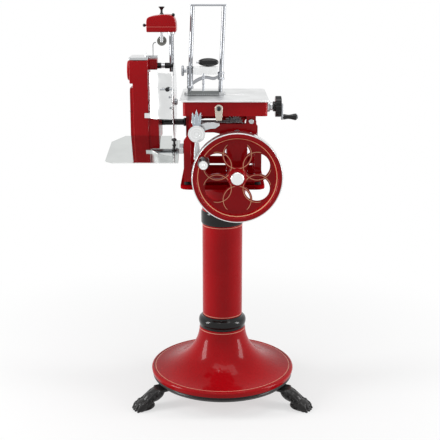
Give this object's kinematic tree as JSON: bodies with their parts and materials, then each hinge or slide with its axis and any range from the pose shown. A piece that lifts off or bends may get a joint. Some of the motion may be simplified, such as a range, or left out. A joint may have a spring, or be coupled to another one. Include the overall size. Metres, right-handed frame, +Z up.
{
  "type": "meat slicer",
  "caption": "Hand crank meat slicer with a flywheel, a sliding carriage with a meat clamp, a round knife and a sharpener, on a round pedestal with paw feet.",
  "frame": {"origin": "centre of the bounding box's bottom face, on the floor", "axes": "+Z up, +Y away from the operator, so the flywheel faces -Y; +X to the operator's right, where the feed crank is"},
  "size_m": [0.747, 0.7218, 1.48],
  "materials": {
    "red_enamel": "glossy enamel",
    "black_iron": "painted casting",
    "black_paint": "glossy",
    "black_gloss": "polished",
    "rubber": "matte",
    "chrome": "polished",
    "steel": "ground",
    "aluminium": "satin",
    "stone": "rough"
  },
  "bodies": {
    "stand": {"foot_left": "black_iron", "foot_right": "black_iron", "foot_rear": "black_iron", "base_ring": "black_iron", "base_bell": "red_enamel", "column_collar": "black_paint", "column": "red_enamel", "column_cap": "black_paint", "top_plate": "red_enamel", "machine_foot_1": "rubber", "machine_foot_2": "rubber", "machine_foot_3": "rubber", "machine_foot_4": "rubber", "machine_base": "red_enamel", "rail_left": "steel", "rail_right": "steel", "dial_bracket": "aluminium", "cross_sleeve": "black_paint", "knife_casing": "red_enamel", "casing_cap": "chrome", "deflector": "aluminium", "deflector_knob": "black_gloss", "tray": "chrome", "tray_arm": "aluminium", "tray_knob": "black_gloss", "post_bracket": "black_iron"},
    "flywheel": {"flywheel": "red_enamel", "flywheel_shaft": "chrome", "drive_gear": "steel", "grip_pin": "chrome"},
    "crank_grip": {"crank_grip": "black_gloss"},
    "idler": {"idler_gear": "steel"},
    "upper_shaft": {"upper_shaft": "steel", "driven_gear": "steel"},
    "cross_shaft": {"cross_shaft": "steel"},
    "knife": {"knife_shaft": "chrome", "blade": "steel"},
    "sharpener_post": {"sharpener_post": "chrome"},
    "sharpener": {"sharpener_head": "aluminium", "sharpener_cover": "red_enamel", "sharpener_knob": "black_gloss", "grinding_stone_front": "stone", "grinding_stone_rear": "stone"},
    "carriage": {"carriage_body": "red_enamel", "table_plate": "aluminium", "feed_bearing": "aluminium"},
    "lock_lever": {"lock_lever": "aluminium"},
    "feed_screw": {"feed_screw": "steel", "index_wheel": "black_paint", "feed_crank": "chrome"},
    "feed_crank_grip": {"feed_crank_grip": "black_gloss"},
    "clamp": {"clamp_base": "aluminium", "clamp_post_left": "chrome", "clamp_post_right": "chrome", "clamp_crossbar": "chrome"},
    "press": {"press_yoke": "chrome", "press_handle": "black_gloss"},
    "press_knob": {"press_knob": "chrome"},
    "thickness_dial": {"thickness_dial": "aluminium"}
  },
  "joints": [
    {"name": "flywheel_spin", "type": "hinge", "parent": "stand", "child": "flywheel", "pos_m": [0.07949, -0.20562, 0.8984], "axis": [0, 1, 0], "continuous": true},
    {"name": "crank_grip_spin", "type": "hinge", "parent": "flywheel", "child": "crank_grip", "pos_m": [-0.03569, -0.3, 0.9649], "axis": [0, 1, 0], "continuous": true},
    {"name": "idler_spin", "type": "hinge", "parent": "stand", "child": "idler", "pos_m": [0.07949, -0.1236, 0.9704], "axis": [0, 1, 0], "continuous": true},
    {"name": "upper_shaft_spin", "type": "hinge", "parent": "stand", "child": "upper_shaft", "pos_m": [0.07949, -0.1236, 1.0424], "axis": [0, 1, 0], "continuous": true},
    {"name": "cross_shaft_spin", "type": "hinge", "parent": "stand", "child": "cross_shaft", "pos_m": [-0.1, 0.10438, 1.0424], "axis": [1, 0, 0], "continuous": true},
    {"name": "knife_spin", "type": "hinge", "parent": "stand", "child": "knife", "pos_m": [-0.14451, -0.02362, 1.1344], "axis": [1, 0, 0], "continuous": true},
    {"name": "sharpener_swivel", "type": "hinge", "parent": "stand", "child": "sharpener_post", "pos_m": [-0.15601, 0.01138, 1.3], "axis": [0, 0, 1], "range_deg": [0, 90]},
    {"name": "sharpener_lift", "type": "slide", "parent": "sharpener_post", "child": "sharpener", "axis": [0, 0, 1], "range_m": [-0.06, 0]},
    {"name": "carriage_slide", "type": "slide", "parent": "stand", "child": "carriage", "axis": [0, 1, 0], "range_m": [0, 0.19]},
    {"name": "lock_lever_turn", "type": "hinge", "parent": "carriage", "child": "lock_lever", "pos_m": [0.01549, -0.2, 1.11], "axis": [0, 1, 0], "range_deg": [-20, 20]},
    {"name": "feed_slide", "type": "slide", "parent": "carriage", "child": "clamp", "axis": [1, 0, 0], "range_m": [0, 0.13]},
    {"name": "feed_crank_turn", "type": "hinge", "parent": "carriage", "child": "feed_screw", "pos_m": [0.2, -0.12362, 1.131], "axis": [1, 0, 0], "range_deg": [0, 4680]},
    {"name": "feed_grip_spin", "type": "hinge", "parent": "feed_screw", "child": "feed_crank_grip", "pos_m": [0.26, -0.12362, 1.094], "axis": [1, 0, 0], "continuous": true},
    {"name": "press_slide", "type": "slide", "parent": "clamp", "child": "press", "axis": [0.0436, 0, 0.999], "range_m": [0, 0.15]},
    {"name": "press_knob_turn", "type": "hinge", "parent": "press", "child": "press_knob", "pos_m": [-0.105, -0.00362, 1.2446], "axis": [1, 0, 0], "range_deg": [-90, 90]},
    {"name": "dial_turn", "type": "hinge", "parent": "stand", "child": "thickness_dial", "pos_m": [-0.06151, -0.21, 1.047], "axis": [0, 1, 0], "range_deg": [-150, 150]}
  ],
  "couplings": [
    {"joint": "idler_spin", "follows": "flywheel_spin", "ratio": -1},
    {"joint": "upper_shaft_spin", "follows": "flywheel_spin", "ratio": 1},
    {"joint": "cross_shaft_spin", "follows": "flywheel_spin", "ratio": -1},
    {"joint": "knife_spin", "follows": "flywheel_spin", "ratio": -1.5},
    {"joint": "feed_crank_turn", "follows": "feed_slide", "rad_per_m": 628.32}
  ]
}
